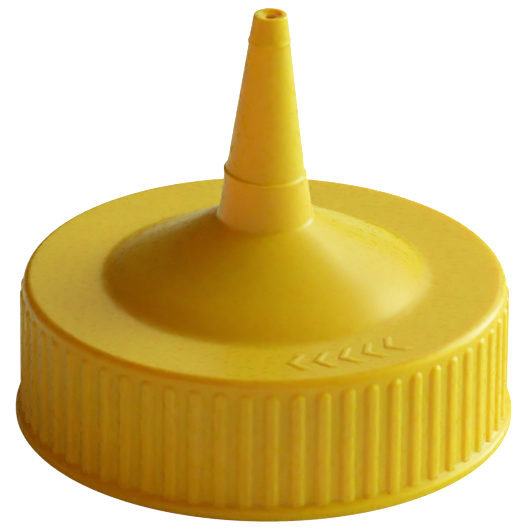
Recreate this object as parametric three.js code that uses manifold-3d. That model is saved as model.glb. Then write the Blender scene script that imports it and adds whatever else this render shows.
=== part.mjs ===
// Wide-mouth squeeze-bottle cap with a cone spout, and the sealing washer inside it.
// Millimetres, +Z up. The origin is the middle of the ring that the cap stands on.
// Angles round the cap are in degrees from the front, which is -Y, towards +X.

import * as THREE from 'three';
import { mergeVertices } from 'three/addons/utils/BufferGeometryUtils.js';
import Module from 'manifold-3d';

const wasm = await Module();
wasm.setup();

// Round the axis.
const SEGMENTS = 60;
const TURN = 2 * Math.PI;
const FRONT = -Math.PI / 2;

// Skirt and bottom flange.
const FLANGE_RADIUS = 34.0;
const FLANGE_TOP = 1.1;
const SHOULDER_TOP = 1.9;
const FOOT_ROUND = 0.3;
const LAND_RADIUS = 32.92;
const CORNER_ROUND = 1.25;
const TOP_HEIGHT = 20.17;
const INNER_RADIUS = 31.65;
const MOUTH_CHAMFER = 0.4;

// Grip ribs.
const RIB_COUNT = 60;
const RIB_WIDTH = 1.95;
const RIB_RADIUS = 33.32;
const RIB_ROOT = 32.3;
const RIB_BOTTOM = 0.9;
const RIB_TOP = 18.5;
const RIB_PHASE = 1.88;

// Top plate and dome. DOME_LINE gives radius and height above the top ring.
const TOP_THICKNESS = 1.6;
const DOME_RADIUS = 21.95;
const DOME_LINE = [[DOME_RADIUS, 0], [20.6, 1.25], [18.6, 2.45], [14.0, 4.75], [10.0, 7.1], [6.9, 8.85]];
const DOME_WALL = 1.5;
const DOME_STEPS = 6;

// Spout, each bead a thin ring left by the mould. It leans a little towards +X: SPOUT_LEAN is how
// far it goes sideways for each millimetre above LEAN_START. BEAD_TILT is the lower bead's slope.
const SPOUT_FOOT = 29.5;
const SPOUT_FOOT_RADIUS = 6.3;
const LOWER_BEAD = { z: 35.9, radius: 5.64, below: 5.53, above: 5.3, half: 0.3 };
const UPPER_BEAD = { z: 55.05, radius: 2.93, below: 2.83, above: 2.77, half: 0.4 };
const BEAD_TILT = 0.07;
const TIP_RADIUS = 2.4;
const TIP_SHOULDER = 58.0;
const LIP_RADIUS = 2.05;
const TOTAL_HEIGHT = 58.9;
const LEAN_START = 40.0;
const SPOUT_LEAN = 0.022;
const BORE_FOOT_RADIUS = 4.9;
const BORE_NECK = 57.5;
const BORE_NECK_RADIUS = 1.5;
const DISH_RADIUS = 1.6;
const DISH_DEPTH = 0.35;
const ORIFICE_RADIUS = 0.7;
const ORIFICE_DEPTH = 0.8;

// Internal thread, right-handed, of a 63 mm neck finish with six turns to the inch.
const THREAD_PITCH = 4.233;
const THREAD_TURNS = 1.5;
const THREAD_START = 4.6;
const THREAD_DEPTH = 1.2;
const THREAD_ROOT_WIDTH = 2.6;
const THREAD_CREST_WIDTH = 0.9;
const THREAD_STEPS = 90;
const THREAD_FADE = 0.06;
const THREAD_EMBED = 0.35;

// Washer, and the bead that keeps it under the top plate.
const WASHER_INNER = 25.5;
const WASHER_OUTER = 31.0;
const WASHER_THICKNESS = 1.0;
const WASHER_CHAMFER_WIDTH = 0.5;
const WASHER_CHAMFER_HEIGHT = 0.3;
const WASHER_GAP = 0.05;
const GROOVE_RADIUS = 31.4;
const RETAINER_RADIUS = 30.85;
const RETAINER_HEIGHT = 0.3;
const RETAINER_SLOPE = 0.6;

// Raised turn-to-close mark: a row of chevrons on the top ring that point clockwise.
const MARK_HEIGHT = 0.2;
const MARK_EMBED = 0.3;
const MARK_OUTER = 29.4;
const MARK_RADIUS = 27.2;
const MARK_INNER = 25.0;
const CHEVRON_COUNT = 5;
const CHEVRON_START = 6.5;
const CHEVRON_PITCH = 7.4;
const CHEVRON_SWEEP = 3.6;
const CHEVRON_STROKE = 2.2;

const UNDERSIDE = TOP_HEIGHT - TOP_THICKNESS;
const WASHER_TOP = UNDERSIDE - WASHER_GAP;
const WASHER_BOTTOM = WASHER_TOP - WASHER_THICKNESS;

const capMaterial = new THREE.MeshStandardMaterial({ color: 0xe0b800, roughness: 0.35, metalness: 0 });
const washerMaterial = new THREE.MeshStandardMaterial({ color: 0xe9e6dc, roughness: 0.7, metalness: 0 });

function radians(degrees) {
  return THREE.MathUtils.degToRad(degrees);
}

// A ring or shell turned about +Z from a closed profile of [radius, height] points.
function turned(profile) {
  const points = profile.map(([radius, height]) => new THREE.Vector2(radius, height));
  points.push(points[0].clone());
  const geometry = new THREE.LatheGeometry(points, SEGMENTS);
  geometry.rotateX(Math.PI / 2);
  return geometry;
}

// The same shape with the spout's lean and the lower bead's tilt.
function leaned(geometry) {
  const position = geometry.attributes.position;
  for (let i = 0; i < position.count; i += 1) {
    const x = position.getX(i);
    const z = position.getZ(i);
    const onBead = Math.abs(z - LOWER_BEAD.z) <= LOWER_BEAD.half;
    position.setX(i, x + SPOUT_LEAN * Math.max(0, z - LEAN_START));
    position.setZ(i, onBead ? z - BEAD_TILT * x : z);
  }
  return geometry;
}

function solidOf(geometry) {
  const bare = geometry.clone();
  bare.deleteAttribute('normal');
  bare.deleteAttribute('uv');
  const merged = mergeVertices(bare, 1e-4);
  const vertProperties = new Float32Array(merged.attributes.position.array);
  const triVerts = new Uint32Array(merged.index.array);
  return new wasm.Manifold(new wasm.Mesh({ numProp: 3, vertProperties, triVerts }));
}

function geometryOf(solid) {
  const mesh = solid.getMesh();
  const geometry = new THREE.BufferGeometry();
  geometry.setAttribute('position', new THREE.BufferAttribute(mesh.vertProperties, 3));
  geometry.setIndex(new THREE.BufferAttribute(mesh.triVerts, 1));
  geometry.computeVertexNormals();
  return geometry;
}

// Points of a quarter round with centre [radius, height], from one angle to another.
function roundPoints(radius, height, size, from, to, steps) {
  const points = [];
  for (let i = 0; i <= steps; i += 1) {
    const angle = radians(from + ((to - from) * i) / steps);
    points.push([radius + size * Math.cos(angle), height + size * Math.sin(angle)]);
  }
  return points;
}

// The dome's curve, from its rim to the spout.
function domePoints() {
  const knots = DOME_LINE.map(([radius, rise]) => new THREE.Vector2(radius, TOP_HEIGHT + rise));
  return new THREE.SplineCurve(knots).getPoints(DOME_STEPS).map((point) => [point.x, point.y]);
}

function beadPoints(bead) {
  return [
    [bead.below, bead.z - bead.half],
    [bead.radius, bead.z - bead.half / 2],
    [bead.radius, bead.z + bead.half / 2],
    [bead.above, bead.z + bead.half],
  ];
}

function outerPoints() {
  return [
    ...roundPoints(FLANGE_RADIUS - FOOT_ROUND, FOOT_ROUND, FOOT_ROUND, -90, 0, 2),
    [FLANGE_RADIUS, FLANGE_TOP],
    [(FLANGE_RADIUS + LAND_RADIUS) / 2, (FLANGE_TOP + SHOULDER_TOP) / 2 + 0.15],
    [LAND_RADIUS, SHOULDER_TOP],
    ...roundPoints(LAND_RADIUS - CORNER_ROUND, TOP_HEIGHT - CORNER_ROUND, CORNER_ROUND, 0, 90, 3),
    ...domePoints(),
    [SPOUT_FOOT_RADIUS, SPOUT_FOOT],
    ...beadPoints(LOWER_BEAD),
    ...beadPoints(UPPER_BEAD),
    [TIP_RADIUS, TIP_SHOULDER],
    [TIP_RADIUS - 0.1, TOTAL_HEIGHT - 0.3],
    [LIP_RADIUS, TOTAL_HEIGHT],
  ];
}

// From the dished orifice down through the spout and dome to the mouth of the skirt.
function innerPoints() {
  const hollow = domePoints().reverse().map(([radius, height]) => [radius - DOME_WALL / 2, height - DOME_WALL]);
  return [
    [DISH_RADIUS, TOTAL_HEIGHT],
    [ORIFICE_RADIUS, TOTAL_HEIGHT - DISH_DEPTH],
    [ORIFICE_RADIUS, TOTAL_HEIGHT - ORIFICE_DEPTH],
    [BORE_NECK_RADIUS, BORE_NECK],
    [BORE_FOOT_RADIUS, SPOUT_FOOT - DOME_WALL / 2],
    ...hollow.filter(([, height]) => height > UNDERSIDE + 0.1),
    [DOME_RADIUS - DOME_WALL, UNDERSIDE],
    [GROOVE_RADIUS, UNDERSIDE],
    [GROOVE_RADIUS, WASHER_BOTTOM],
    [RETAINER_RADIUS, WASHER_BOTTOM - RETAINER_HEIGHT],
    [RETAINER_RADIUS, WASHER_BOTTOM - 2 * RETAINER_HEIGHT],
    [INNER_RADIUS, WASHER_BOTTOM - 2 * RETAINER_HEIGHT - RETAINER_SLOPE],
    [INNER_RADIUS, MOUTH_CHAMFER],
    [INNER_RADIUS + MOUTH_CHAMFER, 0],
  ];
}

function rib(index) {
  const half = RIB_WIDTH / 2;
  const face = new THREE.Shape();
  face.moveTo(-half, RIB_BOTTOM);
  face.lineTo(half, RIB_BOTTOM);
  face.lineTo(half, RIB_TOP - half);
  face.absarc(0, RIB_TOP - half, half, 0, Math.PI, false);
  const depth = RIB_RADIUS - RIB_ROOT;
  const geometry = new THREE.ExtrudeGeometry(face, { depth, bevelEnabled: false, curveSegments: 2 });
  geometry.rotateX(Math.PI / 2);
  geometry.translate(0, -RIB_ROOT, 0);
  geometry.rotateZ(radians(RIB_PHASE + (index * 360) / RIB_COUNT));
  return geometry;
}

// A straight bar of the thread's section, bent on to its helix. It sinks into the wall at its ends.
function thread() {
  const section = new THREE.Shape();
  section.moveTo(-THREAD_EMBED, -THREAD_ROOT_WIDTH / 2);
  section.lineTo(0, -THREAD_ROOT_WIDTH / 2);
  section.lineTo(THREAD_DEPTH, -THREAD_CREST_WIDTH / 2);
  section.lineTo(THREAD_DEPTH, THREAD_CREST_WIDTH / 2);
  section.lineTo(0, THREAD_ROOT_WIDTH / 2);
  section.lineTo(-THREAD_EMBED, THREAD_ROOT_WIDTH / 2);
  const bar = new THREE.ExtrudeGeometry(section, { depth: 1, steps: THREAD_STEPS, bevelEnabled: false });
  const position = bar.attributes.position;
  for (let i = 0; i < position.count; i += 1) {
    const along = position.getZ(i);
    const angle = FRONT + along * THREAD_TURNS * TURN;
    const grown = Math.min(1, along / THREAD_FADE, (1 - along) / THREAD_FADE);
    const inwards = THREE.MathUtils.lerp(-THREAD_EMBED / 2, position.getX(i), grown);
    const radius = INNER_RADIUS - (position.getX(i) < 0 ? position.getX(i) : inwards);
    const height = THREAD_START + along * THREAD_TURNS * THREAD_PITCH + position.getY(i);
    position.setXYZ(i, radius * Math.cos(angle), radius * Math.sin(angle), height);
  }
  return bar;
}

// A point of the mark's outline, its angle in degrees from the front.
function markPoint(radius, angle) {
  const turn = FRONT + radians(angle);
  return new THREE.Vector2(radius * Math.cos(turn), radius * Math.sin(turn));
}

function chevron(index) {
  const tip = CHEVRON_START + index * CHEVRON_PITCH;
  const shape = new THREE.Shape([
    markPoint(MARK_RADIUS, tip),
    markPoint(MARK_INNER, tip + CHEVRON_SWEEP),
    markPoint(MARK_INNER, tip + CHEVRON_SWEEP + CHEVRON_STROKE),
    markPoint(MARK_RADIUS, tip + CHEVRON_STROKE),
    markPoint(MARK_OUTER, tip + CHEVRON_SWEEP + CHEVRON_STROKE),
    markPoint(MARK_OUTER, tip + CHEVRON_SWEEP),
  ]);
  const depth = MARK_HEIGHT + MARK_EMBED;
  const geometry = new THREE.ExtrudeGeometry(shape, { depth, bevelEnabled: false });
  geometry.translate(0, 0, TOP_HEIGHT - MARK_EMBED);
  return geometry;
}

function capSolid() {
  let solid = solidOf(leaned(turned([...outerPoints(), ...innerPoints()])));
  for (let index = 0; index < RIB_COUNT; index += 1) {
    solid = solid.add(solidOf(rib(index)));
  }
  solid = solid.add(solidOf(thread()));
  for (let index = 0; index < CHEVRON_COUNT; index += 1) {
    solid = solid.add(solidOf(chevron(index)));
  }
  return solid;
}

function washerGeometry() {
  return turned([
    [WASHER_INNER, WASHER_BOTTOM],
    [WASHER_OUTER - WASHER_CHAMFER_WIDTH, WASHER_BOTTOM],
    [WASHER_OUTER, WASHER_BOTTOM + WASHER_CHAMFER_HEIGHT],
    [WASHER_OUTER, WASHER_TOP],
    [WASHER_INNER, WASHER_TOP],
  ]);
}

const cap = new THREE.Mesh(geometryOf(capSolid()), capMaterial);
cap.name = 'cap';

const washer = new THREE.Mesh(washerGeometry(), washerMaterial);
washer.name = 'sealing_washer';

const dispensingCap = new THREE.Group();
dispensingCap.add(cap, washer);

export default dispensingCap;
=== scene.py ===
"""Looks of the cone-spout squeeze-bottle cap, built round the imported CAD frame.

Lengths are named in millimetres and turned into Blender's metres where a mesh is made. The
camera, floor and lights are in metres. Angles round the cap are measured from the front, which
is -Y, towards +X.
"""

import math

import bpy
import numpy as np
from mathutils import Matrix, Vector


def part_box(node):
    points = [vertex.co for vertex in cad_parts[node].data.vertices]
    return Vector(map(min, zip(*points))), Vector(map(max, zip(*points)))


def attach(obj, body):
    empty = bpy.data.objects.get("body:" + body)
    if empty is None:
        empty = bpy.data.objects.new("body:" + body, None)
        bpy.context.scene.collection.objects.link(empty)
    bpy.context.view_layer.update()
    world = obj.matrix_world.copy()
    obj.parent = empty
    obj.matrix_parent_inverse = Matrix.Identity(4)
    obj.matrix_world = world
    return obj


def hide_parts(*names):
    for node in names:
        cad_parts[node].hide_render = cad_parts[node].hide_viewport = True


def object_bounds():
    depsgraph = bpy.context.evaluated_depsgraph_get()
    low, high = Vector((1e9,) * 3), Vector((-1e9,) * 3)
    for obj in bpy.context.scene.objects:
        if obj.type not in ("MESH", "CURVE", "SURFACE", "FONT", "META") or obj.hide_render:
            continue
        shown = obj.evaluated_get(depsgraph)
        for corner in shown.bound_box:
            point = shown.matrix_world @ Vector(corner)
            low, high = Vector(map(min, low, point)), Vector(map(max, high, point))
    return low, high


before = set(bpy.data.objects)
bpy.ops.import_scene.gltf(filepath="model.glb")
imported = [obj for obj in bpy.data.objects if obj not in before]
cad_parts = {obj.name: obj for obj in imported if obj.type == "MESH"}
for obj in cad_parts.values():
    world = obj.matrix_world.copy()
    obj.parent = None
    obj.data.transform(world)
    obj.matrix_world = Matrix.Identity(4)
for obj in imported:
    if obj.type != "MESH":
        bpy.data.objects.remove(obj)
cad_low, cad_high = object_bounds()

MM = 0.001
TURN = 2 * math.pi

# ---------------------------------------------------------------- the cap's sizes, in millimetres
TOTAL_HEIGHT = cad_high.z / MM
FLANGE_RADIUS = cad_high.x / MM

# Skirt and bottom flange. The shoulder slopes from the ribs' face down to the land between them.
FOOT_ROUND = 0.35
FLANGE_EDGE = 1.2
SHOULDER_LOW = 1.62
SHOULDER_HIGH = 1.98
LAND_RADIUS = 32.92
CORNER_ROUND = 1.25
TOP_HEIGHT = 20.17
INNER_RADIUS = 31.65
WALL_HEIGHTS = (3.0, 5.0, 8.0, 11.0, 14.0, 16.5)

# Grip ribs: a soft flank from RIB_FLAT_HALF to RIB_HALF_WIDTH and a crowned face between.
RIB_COUNT = 60
RIB_HALF_WIDTH = 1.14
RIB_FLAT_HALF = 0.50
RIB_RISE = 0.40
RIB_CROWN = 0.11
RIB_BOTTOM = 1.4
RIB_TOP = 18.55
RIB_CLEAR = 0.2
RIB_ROUND_START = 17.2
RIB_ROUND_STEP = 0.12
RIB_PHASE = 1.88
RIB_STEPS = [-1.74, -1.4, -1.14, -1.0, -0.86, -0.7, -0.5, -0.25,
             0.0, 0.25, 0.5, 0.7, 0.86, 1.0, 1.14, 1.4]

# Dome and spout. The spout leans towards +X above LEAN_START, and its lower bead is tilted.
DOME_RADIUS = 21.95
SPOUT_FOOT = 29.5
SPOUT_FOOT_RADIUS = 6.3
LOWER_BEAD = 35.9
BEAD_TILT = 0.07
BEAD_SHIFT = 0.1
BEAD_NEAR = 0.5
BEAD_FAR = 2.0
LEAN_START = 40.0
LEAN = 0.022

# Internal thread.
THREAD_PITCH = 4.233
THREAD_TURNS = 1.5
THREAD_START = 4.6
THREAD_DEPTH = 1.2
THREAD_ROOT_HALF = 1.3
THREAD_CREST_HALF = 0.45
THREAD_FADE = 0.06

# Washer, and the groove and bead that keep it under the top plate.
WASHER_INNER = 25.5
WASHER_GAP = 0.05
GROOVE_RADIUS = 31.4
RETAINER_RADIUS = 30.85

# Raised turn-to-close mark: chevrons on the top ring. The chevrons' START, PITCH, SWEEP and
# STROKE and the mark's MARGIN, FINE and COARSE are degrees.
MARK_RISE = 0.14
MARK_EDGE = 0.2
MARK_OUTER = 29.4
MARK_RADIUS = 27.2
MARK_INNER = 25.0
CHEVRON_COUNT = 5
CHEVRON_START = 6.5
CHEVRON_PITCH = 7.4
CHEVRON_SWEEP = 3.6
CHEVRON_STROKE = 2.2
MARK_MARGIN = 1.5
MARK_FINE = 0.3
MARK_COARSE = 3.0
MARK_CLEAR = 0.4
MARK_RING_STEP = 0.16
MARK_END = CHEVRON_START + CHEVRON_PITCH * (CHEVRON_COUNT - 1) + CHEVRON_SWEEP + CHEVRON_STROKE

# Profile corners: radius, height, and how far the corner's round reaches along each side.
FOOT_LINE = [
    (INNER_RADIUS + 0.5, 0.0, 0.0),
    (FLANGE_RADIUS, 0.0, FOOT_ROUND),
    (FLANGE_RADIUS, FLANGE_EDGE, 0.5),
    (LAND_RADIUS + RIB_RISE, SHOULDER_LOW, 0.25),
    (LAND_RADIUS, SHOULDER_HIGH, 0.18),
    (LAND_RADIUS, 2.5, 0.0),
]
DOME_LINE = [
    (23.9, TOP_HEIGHT, 0.0),
    (DOME_RADIUS + 0.05, TOP_HEIGHT, 1.1),
    (20.4, TOP_HEIGHT + 1.12, 0.8),
    (18.7, TOP_HEIGHT + 2.24, 1.1),
    (13.5, TOP_HEIGHT + 5.0, 2.5),
    (SPOUT_FOOT_RADIUS + 0.12, SPOUT_FOOT - 0.15, 0.5),
    (SPOUT_FOOT_RADIUS - 0.05, SPOUT_FOOT + 1.0, 0.0),
]
SPOUT_LINE = [
    (6.12, 31.1, 0.0),
    (5.56, 35.50, 0.1),
    (5.64, 35.66, 0.08),
    (5.64, 35.98, 0.08),
    (5.30, 36.24, 0.12),
    (4.47, 42.36, 0.0),
    (4.455, 42.48, 0.0),
    (2.83, 54.65, 0.2),
    (2.93, 54.90, 0.1),
    (2.93, 55.2, 0.1),
    (2.78, 55.5, 0.2),
    (2.40, 58.0, 0.3),
    (2.27, TOTAL_HEIGHT, 0.24),
    (1.60, TOTAL_HEIGHT, 0.1),
]
BORE_LINE = [
    (1.50, TOTAL_HEIGHT - 0.04, 0.0),
    (1.15, TOTAL_HEIGHT - 0.28, 0.2),
    (0.72, TOTAL_HEIGHT - 0.36, 0.1),
    (0.70, TOTAL_HEIGHT - 0.8, 0.1),
    (1.45, 57.4, 0.3),
    (4.9, 28.8, 1.2),
    (12.7, 24.2, 2.0),
    (20.0, 19.6, 1.0),
    (20.6, 18.6, 0.3),
]


# ---------------------------------------------------------------- small helpers
def smooth(low, high, x):
    """0 below low, 1 above high, and an even S between them."""
    t = np.clip((np.asarray(x, float) - low) / (high - low), 0.0, 1.0)
    return t * t * (3.0 - 2.0 * t)


def rounded(corners, steps):
    """Points along a line of (radius, height, round) corners. A corner with a round turns over
    that length along each side, and one without stays sharp, as both ends do."""
    points = []
    for i, (r, z, size) in enumerate(corners):
        here = np.array([r, z])
        if size <= 0 or i in (0, len(corners) - 1):
            points.append(tuple(here))
            continue
        before = np.array(corners[i - 1][:2]) - here
        after = np.array(corners[i + 1][:2]) - here
        start = here + before * (size / np.linalg.norm(before))
        end = here + after * (size / np.linalg.norm(after))
        for t in np.linspace(0, 1, steps + 1):
            points.append(tuple((1 - t) ** 2 * start + 2 * t * (1 - t) * here + t * t * end))
    return points


def refine(points, longest):
    """The same line with no stretch longer than that."""
    out = [points[0]]
    for a, b in zip(points, points[1:]):
        a, b = np.array(a), np.array(b)
        n = max(1, math.ceil(np.linalg.norm(b - a) / longest - 1e-6))
        out += [tuple(a + (b - a) * k / n) for k in range(1, n + 1)]
    return out


def even_angles(count):
    return np.arange(count) * TURN / count


def lean_of(z):
    """How far the spout stands off the axis, towards +X, at height z."""
    return LEAN * np.maximum(0.0, np.asarray(z) - LEAN_START)


# ---------------------------------------------------------------- rings and the skin between them
class Skin:
    """A closed surface made of rings round the axis, each joined to the next."""

    def __init__(self):
        self.vertices = []
        self.faces = []
        self.rings = []

    def ring(self, angles, radius, height):
        """Adds a ring. radius and height are single values or one per angle."""
        radius = np.broadcast_to(np.asarray(radius, float), angles.shape)
        height = np.broadcast_to(np.asarray(height, float), angles.shape)
        first = len(self.vertices)
        x = radius * np.sin(angles) + lean_of(height)
        y = -radius * np.cos(angles)
        self.vertices += list(zip(x, y, height))
        self.rings.append((first, angles))

    def band(self, angles, points, shape=None):
        """Adds a ring at each (radius, height) point. shape(angles, radius, height) gives the
        ring's own radius and height where it isn't round and flat."""
        for r, z in points:
            if shape is None:
                self.ring(angles, r, z)
            else:
                self.ring(angles, *shape(angles, r, z))

    def close(self):
        """Joins every ring to the next, and the last to the first."""
        for i, lower in enumerate(self.rings):
            upper = self.rings[(i + 1) % len(self.rings)]
            self._join(lower, upper)

    def _join(self, lower, upper):
        """Squares between rings that have the same angles, and a zip of triangles otherwise."""
        a, angles_a = lower
        b, angles_b = upper
        n, m = len(angles_a), len(angles_b)
        if n == m and np.allclose(angles_a, angles_b):
            for k in range(n):
                nxt = (k + 1) % n
                self.faces.append((a + k, a + nxt, b + nxt, b + k))
            return
        turn_a = np.append(angles_a, TURN + angles_a[0])
        turn_b = np.append(angles_b, TURN + angles_b[0])
        i = j = 0
        while i < n or j < m:
            if j >= m or (i < n and turn_a[i + 1] <= turn_b[j + 1]):
                self.faces.append((a + i, a + (i + 1) % n, b + j % m))
                i += 1
            else:
                self.faces.append((a + i % n, b + (j + 1) % m, b + j))
                j += 1

    def mesh(self, name):
        data = bpy.data.meshes.new(name)
        data.from_pydata([tuple(c * MM for c in v) for v in self.vertices], [], self.faces)
        data.validate()
        data.update()
        data.shade_smooth()
        piece = bpy.data.objects.new(name, data)
        bpy.context.scene.collection.objects.link(piece)
        return piece


# ---------------------------------------------------------------- the skirt and its ribs
def rib_angles():
    """Ring angles that are close together at each rib's flanks and wide apart between ribs."""
    pitch = TURN / RIB_COUNT
    phase = math.radians(RIB_PHASE)
    angles = [phase + k * pitch + u / LAND_RADIUS for k in range(RIB_COUNT) for u in RIB_STEPS]
    return np.sort(np.mod(angles, TURN))


def rib_height(angles, height):
    """How far the ribs stand out of the skirt at one height. Their tops are half round."""
    pitch = TURN / RIB_COUNT
    phase = math.radians(RIB_PHASE)
    across = (np.mod(angles - phase + pitch / 2, pitch) - pitch / 2) * LAND_RADIUS
    over = max(0.0, height - (RIB_TOP - RIB_HALF_WIDTH))
    distance = np.hypot(across, over)
    flank = 1.0 - smooth(RIB_FLAT_HALF, RIB_HALF_WIDTH, distance)
    crown = 1.0 - (np.minimum(distance, RIB_HALF_WIDTH) / RIB_HALF_WIDTH) ** 2
    return (RIB_RISE - RIB_CROWN) * flank + RIB_CROWN * crown


def skirt_points():
    """The outside from the foot up to the top ring's edge."""
    foot = rounded(FOOT_LINE, steps=5)
    foot = foot[:-1] + refine(foot[-2:], longest=0.3)
    wall = [(LAND_RADIUS, z) for z in WALL_HEIGHTS]
    corner_start = TOP_HEIGHT - CORNER_ROUND
    round_heights = np.arange(RIB_ROUND_START, corner_start - 0.05, RIB_ROUND_STEP)
    rib_ends = [(LAND_RADIUS, z) for z in round_heights]
    corner = []
    for t in np.linspace(0, math.pi / 2, 11):
        radius = LAND_RADIUS - CORNER_ROUND + CORNER_ROUND * math.cos(t)
        corner.append((radius, corner_start + CORNER_ROUND * math.sin(t)))
    return foot + wall + rib_ends + corner


def skirt_shape(angles, r, z):
    """Ribs stand out of the skirt and run into the flange's shoulder."""
    if z < RIB_BOTTOM or z > RIB_TOP + RIB_CLEAR:
        return r, z
    return np.maximum(r, LAND_RADIUS + rib_height(angles, z)), z


# ---------------------------------------------------------------- the raised turn-to-close mark
MARK_DEGREE = math.radians(1.0) * MARK_RADIUS


def chevron_distance(along, off):
    """Distance outside a chevron whose point is at 0, negative inside it. along and off are
    millimetres round and across the top ring."""
    sweep = CHEVRON_SWEEP * MARK_DEGREE
    stroke = CHEVRON_STROKE * MARK_DEGREE
    reach = MARK_OUTER - MARK_RADIUS
    slant = math.hypot(sweep, reach) / reach
    behind = along - np.abs(off) * sweep / reach
    sides = np.maximum(-behind, behind - stroke) / slant
    return np.maximum(sides, np.abs(off) - reach)


def mark_height(angles, radius):
    """Height of the mark over the top ring."""
    degrees = np.degrees(np.mod(angles + 0.5, TURN) - 0.5)
    distance = np.full_like(angles, np.inf)
    for k in range(CHEVRON_COUNT):
        along = (degrees - CHEVRON_START - k * CHEVRON_PITCH) * MARK_DEGREE
        distance = np.minimum(distance, chevron_distance(along, radius - MARK_RADIUS))
    return MARK_RISE * (1.0 - smooth(-MARK_EDGE, MARK_EDGE, distance))


def mark_angles():
    """Ring angles that are close together under the mark and wide apart elsewhere."""
    fine = np.arange(CHEVRON_START - MARK_MARGIN, MARK_END + MARK_MARGIN, MARK_FINE)
    rest_end = 360.0 + CHEVRON_START - MARK_COARSE
    coarse = np.arange(MARK_END + MARK_COARSE, rest_end, MARK_COARSE)
    return np.sort(np.mod(np.concatenate([np.radians(fine), np.radians(coarse)]), TURN))


def top_shape(angles, r, z):
    return r, z + mark_height(angles, r)


def top_points():
    """The top ring from its edge in to the dome, with fine steps under the mark."""
    radii = [LAND_RADIUS - CORNER_ROUND - 0.4]
    radii += list(np.arange(MARK_OUTER + MARK_CLEAR, MARK_INNER - MARK_CLEAR, -MARK_RING_STEP))
    radii += [24.0]
    return [(r, TOP_HEIGHT) for r in radii]


# ---------------------------------------------------------------- dome, spout and everything inside
def spout_shape(angles, radius, height):
    """The lower bead is tilted and stands a little off the axis."""
    near = 1.0 - smooth(BEAD_NEAR, BEAD_FAR, abs(height - LOWER_BEAD))
    x = radius * np.sin(angles) - BEAD_SHIFT * near
    y = -radius * np.cos(angles)
    return np.hypot(x, y), height - BEAD_TILT * x * near


def ceiling_points():
    """The underside over the washer, the washer's groove and the bead that keeps it in."""
    washer_low, washer_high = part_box("sealing_washer")
    roof = washer_high.z / MM + WASHER_GAP
    seat = washer_low.z / MM
    return rounded(
        [
            (22.0, roof, 0.0),
            (GROOVE_RADIUS, roof, 0.15),
            (GROOVE_RADIUS, seat, 0.1),
            (RETAINER_RADIUS, seat - 0.3, 0.1),
            (RETAINER_RADIUS, seat - 0.6, 0.1),
            (INNER_RADIUS, seat - 1.2, 0.2),
            (INNER_RADIUS, seat - 1.8, 0.0),
        ],
        3,
    )


def wall_points():
    """The skirt's inside, down to the chamfer at its mouth."""
    wall = [(INNER_RADIUS, z) for z in np.arange(14.8, 0.9, -0.25)]
    return wall + [(INNER_RADIUS, 0.8), (INNER_RADIUS + 0.3, 0.2)]


def thread_shape(angles, r, z):
    """The thread pulls the wall inwards along its helix, and fades at both ends."""
    depth = np.zeros_like(angles)
    for turn in range(2):
        t = (angles + turn * TURN) / (THREAD_TURNS * TURN)
        middle = THREAD_START + np.clip(t, 0, 1) * THREAD_TURNS * THREAD_PITCH
        fade = smooth(0.0, THREAD_FADE, t) * (1.0 - smooth(1.0 - THREAD_FADE, 1.0, t))
        form = 1.0 - smooth(THREAD_CREST_HALF, THREAD_ROOT_HALF, np.abs(z - middle))
        depth = np.maximum(depth, THREAD_DEPTH * form * fade)
    return r - depth, z


def make_cap():
    """The whole moulding as one skin, from the foot up the outside and back down the inside."""
    skin = Skin()
    skin.band(rib_angles(), skirt_points(), skirt_shape)
    skin.band(mark_angles(), top_points(), top_shape)
    dome = refine(rounded(DOME_LINE, steps=6), longest=0.9)
    skin.band(even_angles(180), dome)
    spout = refine(rounded(SPOUT_LINE, steps=4), longest=1.2)
    skin.band(even_angles(128), spout, spout_shape)
    bore = refine(rounded(BORE_LINE, steps=4), longest=3.0)
    skin.band(even_angles(96), bore)
    skin.band(even_angles(180), ceiling_points())
    skin.band(even_angles(300), wall_points(), thread_shape)
    skin.close()
    return skin.mesh("cap_moulding")


def make_washer():
    low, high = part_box("sealing_washer")
    outer, z0, z1 = high.x / MM, low.z / MM, high.z / MM
    line = [
        (WASHER_INNER, z0, 0.0),
        (outer, z0, 0.45),
        (outer, z1, 0.2),
        (WASHER_INNER, z1, 0.2),
        (WASHER_INNER, z0 + 0.2, 0.0),
    ]
    skin = Skin()
    skin.band(even_angles(180), refine(rounded(line, steps=3), longest=1.2))
    skin.close()
    return skin.mesh("washer_ring")


# ---------------------------------------------------------------- materials
def new_material(name):
    material = bpy.data.materials.new(name)
    material.use_nodes = True
    nodes = material.node_tree.nodes
    nodes.clear()
    out = nodes.new("ShaderNodeOutputMaterial")
    shader = nodes.new("ShaderNodeBsdfPrincipled")
    material.node_tree.links.new(shader.outputs["BSDF"], out.inputs["Surface"])
    return material, nodes, material.node_tree.links, shader


def noise(nodes, links, source, scale, detail, roughness=0.5):
    node = nodes.new("ShaderNodeTexNoise")
    node.inputs["Scale"].default_value = scale
    node.inputs["Detail"].default_value = detail
    node.inputs["Roughness"].default_value = roughness
    links.new(source, node.inputs["Vector"])
    return node.outputs["Fac"]


def blend(nodes, links, factor, a, b):
    """Runs from colour a to colour b with the factor."""
    node = nodes.new("ShaderNodeMix")
    node.data_type = "RGBA"
    node.inputs["A"].default_value = (*a, 1)
    node.inputs["B"].default_value = (*b, 1)
    links.new(factor, node.inputs["Factor"])
    return node.outputs["Result"]


def ramp(nodes, links, source, low, high):
    """Stretches the middle of a noise, 0.3 to 0.7, to low and high."""
    node = nodes.new("ShaderNodeMapRange")
    node.inputs["From Min"].default_value = 0.3
    node.inputs["From Max"].default_value = 0.7
    node.inputs["To Min"].default_value = low
    node.inputs["To Max"].default_value = high
    links.new(source, node.inputs["Value"])
    return node.outputs["Result"]


def bumped(nodes, links, height, strength):
    """A bump 0.1 mm deep."""
    node = nodes.new("ShaderNodeBump")
    node.inputs["Strength"].default_value = strength
    node.inputs["Distance"].default_value = 0.1 * MM
    links.new(height, node.inputs["Height"])
    return node.outputs["Normal"]


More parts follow.
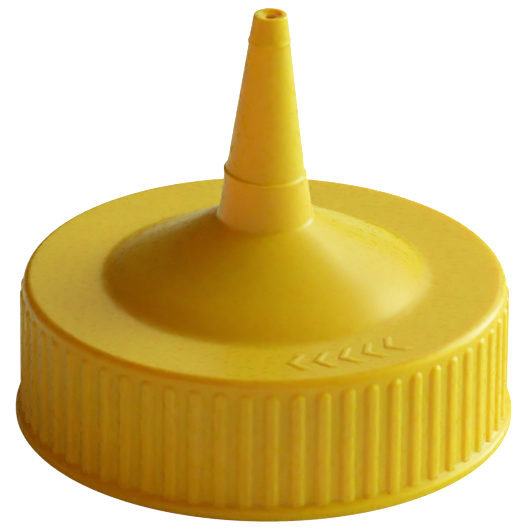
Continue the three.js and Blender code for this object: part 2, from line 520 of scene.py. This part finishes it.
def plastic_material():
    """Translucent yellow polyethylene with faint flow marks and a satin surface."""
    material, nodes, links, shader = new_material("yellow_polyethylene")
    where = nodes.new("ShaderNodeTexCoord").outputs["Object"]
    flow = noise(nodes, links, where, 60.0, 2.0)
    colour = blend(nodes, links, flow, (0.94, 0.437, 0.01), (0.96, 0.463, 0.01))
    links.new(colour, shader.inputs["Base Color"])
    fine = noise(nodes, links, where, 900.0, 4.0, 0.6)
    links.new(ramp(nodes, links, fine, 0.25, 0.33), shader.inputs["Roughness"])
    links.new(bumped(nodes, links, fine, 0.05), shader.inputs["Normal"])
    shader.inputs["IOR"].default_value = 1.51
    shader.inputs["Specular IOR Level"].default_value = 0.32
    shader.inputs["Subsurface Weight"].default_value = 1.0
    shader.inputs["Subsurface Radius"].default_value = (1.0, 0.45, 0.05)
    shader.inputs["Subsurface Scale"].default_value = 3 * MM
    return material


def foam_material():
    """White closed-cell foam."""
    material, nodes, links, shader = new_material("white_foam")
    where = nodes.new("ShaderNodeTexCoord").outputs["Object"]
    cells = noise(nodes, links, where, 2500.0, 2.0)
    colour = blend(nodes, links, cells, (0.74, 0.72, 0.66), (0.86, 0.84, 0.79))
    links.new(colour, shader.inputs["Base Color"])
    links.new(ramp(nodes, links, cells, 0.6, 0.85), shader.inputs["Roughness"])
    links.new(bumped(nodes, links, cells, 0.4), shader.inputs["Normal"])
    return material


# ---------------------------------------------------------------- camera, floor, lights and view
CAMERA_DISTANCE = 1.0
CAMERA_ELEVATION = 25.46
CAMERA_ROLL = -0.541
CAMERA_LENS = 500.3
TARGET_HEIGHT = 0.021745

FLOOR_HALF = 3.0
FLOOR_GLOW = 1.2

# Each soft box: name, azimuth, elevation, colour and watts.
BOX_SIZE = 0.36
BOX_DISTANCE = 0.7
BOX_TARGET = 0.02
SOFT_BOXES = [
    ("key_high", 120, 30, (0.88, 1.13, 0.55), 1.8404),
    ("key_low", 120, 5, (0.60, 1.01, 1.20), 1.9046),
    ("side_high", 90, 30, (0.88, 1.09, 0.10), 1.1984),
    ("side_low", 90, 5, (0.58, 1.01, 0.10), 1.1556),
    ("back_right", 150, 30, (0.88, 0.93, 0.72), 0.428),
    ("back", 180, 30, (0.88, 0.81, 0.25), 0.2996),
    ("fill_low", 330, 5, (0.88, 0.73, 0.10), 0.4066),
    ("fill_front", 0, 30, (0.88, 0.38, 0.10), 0.2461),
    ("fill_high", 0, 58, (0.88, 0.10, 0.05), 0.1926),
]

# A small warm card that lights only the spout's shaded side.
CARD_SIZE = 0.02
CARD_DISTANCE = 0.35
CARD_TARGET = 0.047
CARD_SPREAD = 9
CARD = ("spout_card", 310, 3, (1.0, 0.25, 0.0), 0.00045)

# How hard the bright end of the picture rolls off, and where the curve's points are.
SHOULDER = 2.2
CURVE_POINTS = (0.04, 0.09, 0.15, 0.22, 0.30, 0.40, 0.52, 0.66, 0.82)


def make_camera():
    data = bpy.data.cameras.new("camera")
    data.sensor_width = 36.0
    data.lens = CAMERA_LENS
    data.clip_start = 0.01
    data.clip_end = 20.0
    camera = bpy.data.objects.new("camera", data)
    bpy.context.scene.collection.objects.link(camera)
    tilt = math.radians(CAMERA_ELEVATION)
    back = Vector((0, -math.cos(tilt), math.sin(tilt)))
    right = Vector((1, 0, 0))
    up = back.cross(right)
    roll = math.radians(CAMERA_ROLL)
    turned_right = math.cos(roll) * right - math.sin(roll) * up
    turned_up = math.sin(roll) * right + math.cos(roll) * up
    place = Vector((0, 0, TARGET_HEIGHT)) + back * CAMERA_DISTANCE
    rotation = Matrix((turned_right, turned_up, back)).transposed().to_4x4()
    camera.matrix_world = Matrix.Translation(place) @ rotation
    bpy.context.scene.camera = camera


def floor_material():
    """A pale floor that the camera sees as plain white. Its glow doesn't light the cap."""
    material, nodes, links, shader = new_material("white_floor")
    shader.inputs["Base Color"].default_value = (0.9, 0.9, 0.9, 1)
    shader.inputs["Roughness"].default_value = 0.9
    shader.inputs["Emission Color"].default_value = (1, 1, 1, 1)
    seen = nodes.new("ShaderNodeMath")
    seen.operation = "MULTIPLY"
    seen.inputs[1].default_value = FLOOR_GLOW
    links.new(nodes.new("ShaderNodeLightPath").outputs["Is Camera Ray"], seen.inputs[0])
    links.new(seen.outputs["Value"], shader.inputs["Emission Strength"])
    return material


def make_floor():
    data = bpy.data.meshes.new("floor")
    corners = [(x * FLOOR_HALF, y * FLOOR_HALF, 0) for x, y in ((-1, -1), (1, -1), (1, 1), (-1, 1))]
    data.from_pydata(corners, [], [(0, 1, 2, 3)])
    data.materials.append(floor_material())
    floor = bpy.data.objects.new("floor", data)
    bpy.context.scene.collection.objects.link(floor)


def area_light(name, azimuth, elevation, colour, power, distance, size, target):
    """A square light that looks at the point at height target on the axis. Azimuth 0 is in
    front, at the camera, and 90 is at +X."""
    data = bpy.data.lights.new(name, "AREA")
    data.shape = "RECTANGLE"
    data.size = size
    data.size_y = size
    data.energy = power
    data.color = colour
    light = bpy.data.objects.new(name, data)
    bpy.context.scene.collection.objects.link(light)
    a, e = math.radians(azimuth), math.radians(elevation)
    away = Vector((math.sin(a) * math.cos(e), -math.cos(a) * math.cos(e), math.sin(e)))
    light.location = Vector((0, 0, target)) + away * distance
    light.rotation_mode = "QUATERNION"
    light.rotation_quaternion = away.to_track_quat("Z", "Y")
    light.visible_camera = False
    return light


def make_lights():
    for box in SOFT_BOXES:
        area_light(*box, BOX_DISTANCE, BOX_SIZE, BOX_TARGET)
    card = area_light(*CARD, CARD_DISTANCE, CARD_SIZE, CARD_TARGET)
    card.data.spread = math.radians(CARD_SPREAD)


def make_world():
    """White to the camera and dark to everything else."""
    world = bpy.data.worlds.new("studio")
    world.use_nodes = True
    nodes, links = world.node_tree.nodes, world.node_tree.links
    background = nodes["Background"]
    background.inputs["Color"].default_value = (1, 1, 1, 1)
    seen = nodes.new("ShaderNodeMapRange")
    seen.inputs["To Min"].default_value = 0.0
    seen.inputs["To Max"].default_value = 1.0
    links.new(nodes.new("ShaderNodeLightPath").outputs["Is Camera Ray"], seen.inputs["Value"])
    links.new(seen.outputs["Result"], background.inputs["Strength"])
    bpy.context.scene.world = world


def set_view():
    """Standard colours with a soft shoulder, so the bright side rolls off and white stays
    white."""
    view = bpy.context.scene.view_settings
    view.view_transform = "Standard"
    view.look = "None"
    view.use_curve_mapping = True
    curve = view.curve_mapping.curves[3]
    for x in CURVE_POINTS:
        curve.points.new(x, (1 - math.exp(-SHOULDER * x)) / (1 - math.exp(-SHOULDER)))
    view.curve_mapping.update()


# ---------------------------------------------------------------- put it together
make_camera()
make_floor()
make_lights()
make_world()

cap = make_cap()
cap.data.materials.append(plastic_material())
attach(cap, "root")
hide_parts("cap")

washer = make_washer()
washer.data.materials.append(foam_material())
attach(washer, "root")
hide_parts("sealing_washer")

set_view()
